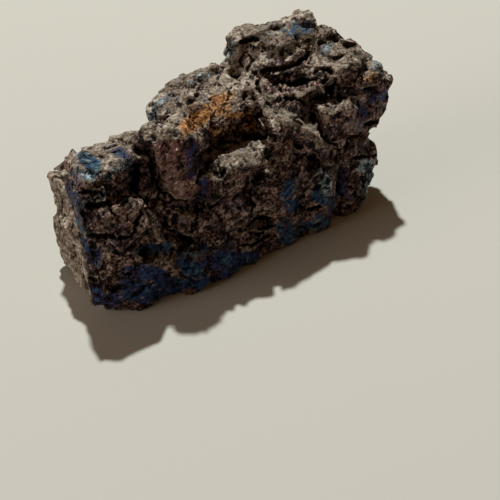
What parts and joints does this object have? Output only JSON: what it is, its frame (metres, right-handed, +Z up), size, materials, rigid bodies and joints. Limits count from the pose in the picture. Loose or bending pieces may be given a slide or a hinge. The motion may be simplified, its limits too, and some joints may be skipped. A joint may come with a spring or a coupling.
{
  "type": "peacock ore",
  "caption": "Angular broken lump of peacock ore, low at one end and tall at the other, that rests on a flat foot.",
  "frame": {"origin": "centre of the bounding box at its bottom, on the surface the lump rests on", "axes": "+Z up, +X along the lump from its low end to its tall end, -Y out of the broad broken face"},
  "size_m": [0.0734, 0.0316, 0.0385],
  "materials": {
    "bornite": "rough broken ore, bronze-brown with dark specks, blue and violet tarnish low on the broad face, one patch of orange rust on top"
  },
  "bodies": {
    "root": {"ore_lump": "bornite"}
  },
  "joints": []
}
